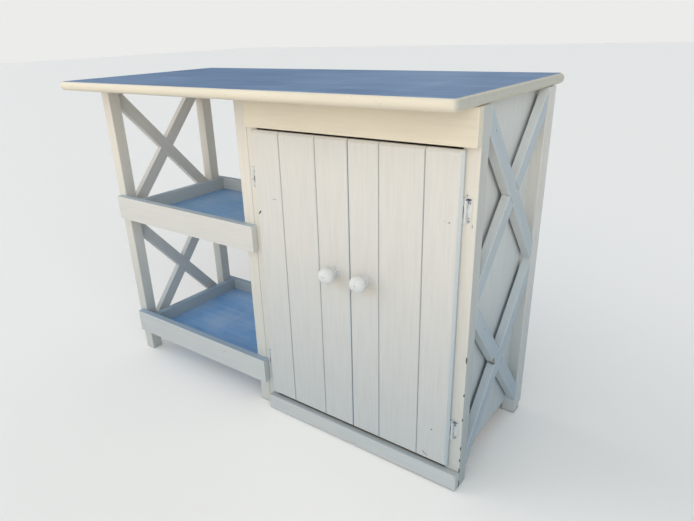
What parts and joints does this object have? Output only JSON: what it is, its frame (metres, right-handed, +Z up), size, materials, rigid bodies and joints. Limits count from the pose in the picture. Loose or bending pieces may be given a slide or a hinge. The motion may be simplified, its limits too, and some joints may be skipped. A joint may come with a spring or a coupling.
{
  "type": "potting bench",
  "caption": "Garden potting bench: round-edged worktop on square posts, open bay with tray shelves and crossed braces, and a boarded cupboard with hinged doors and round knobs.",
  "frame": {"origin": "on the floor, under the middle of the worktop", "axes": "+X along the bench to its right end as seen from the front, +Y to its back, +Z up"},
  "size_m": [1.219, 0.57, 0.9],
  "materials": {
    "cream_paint": "weathered off-white paint on softwood",
    "slate_paint": "slate blue paint on board",
    "bare_timber": "bare planed softwood",
    "painted_hinge": "steel butt hinge painted over, chipped",
    "steel": "bright steel",
    "catch_plastic": "white moulded plastic"
  },
  "bodies": {
    "frame": {"worktop": "slate_paint", "worktop_battens": "bare_timber", "left_front_leg": "cream_paint", "left_back_leg": "cream_paint", "cupboard_left_front_post": "cream_paint", "cupboard_left_back_post": "cream_paint", "right_front_post": "cream_paint", "right_back_post": "cream_paint", "hinge_stile": "cream_paint", "left_upper_brace_down": "cream_paint", "left_upper_brace_up": "cream_paint", "left_lower_brace_down": "cream_paint", "left_lower_brace_up": "cream_paint", "right_upper_brace_down": "cream_paint", "right_upper_brace_up": "cream_paint", "right_lower_brace_down": "cream_paint", "right_lower_brace_up": "cream_paint", "left_end_rail": "bare_timber", "bay_back_rail": "bare_timber", "cupboard_end_rails": "bare_timber", "fascia": "cream_paint", "plinth": "cream_paint", "upper_tray_floor": "slate_paint", "upper_tray_front": "cream_paint", "upper_tray_back": "cream_paint", "upper_tray_side": "cream_paint", "upper_tray_bearers": "bare_timber", "lower_tray_floor": "slate_paint", "lower_tray_front": "cream_paint", "lower_tray_back": "cream_paint", "lower_tray_side": "cream_paint", "lower_tray_bearers": "bare_timber", "cupboard_floor": "bare_timber", "cupboard_floor_bearers": "bare_timber", "cupboard_shelf": "bare_timber", "cupboard_shelf_cleats": "bare_timber", "cupboard_left_panel": "cream_paint", "cupboard_right_panel": "cream_paint", "cupboard_back": "cream_paint", "left_hinge_frame_leaves": "painted_hinge", "left_hinge_pins": "steel", "right_hinge_frame_leaves": "painted_hinge", "right_hinge_pins": "steel", "door_catches": "catch_plastic"},
    "left_door": {"left_door_outer_board": "cream_paint", "left_door_middle_board": "cream_paint", "left_door_inner_board": "cream_paint", "left_door_ledges": "bare_timber", "left_door_strike": "steel", "left_knob": "cream_paint", "left_knob_screw": "steel", "left_hinge_door_leaves": "painted_hinge"},
    "right_door": {"right_door_inner_board": "cream_paint", "right_door_middle_board": "cream_paint", "right_door_outer_board": "cream_paint", "right_door_ledges": "bare_timber", "right_door_strike": "steel", "right_knob": "cream_paint", "right_knob_screw": "steel", "right_hinge_door_leaves": "painted_hinge"}
  },
  "joints": [
    {"name": "left_door_hinge", "type": "hinge", "parent": "frame", "child": "left_door", "pos_m": [0.0228, -0.172, 0.42], "axis": [0, 0, -1], "range_deg": [0, 90]},
    {"name": "right_door_hinge", "type": "hinge", "parent": "frame", "child": "right_door", "pos_m": [0.5842, -0.172, 0.42], "axis": [0, 0, 1], "range_deg": [0, 110]}
  ]
}
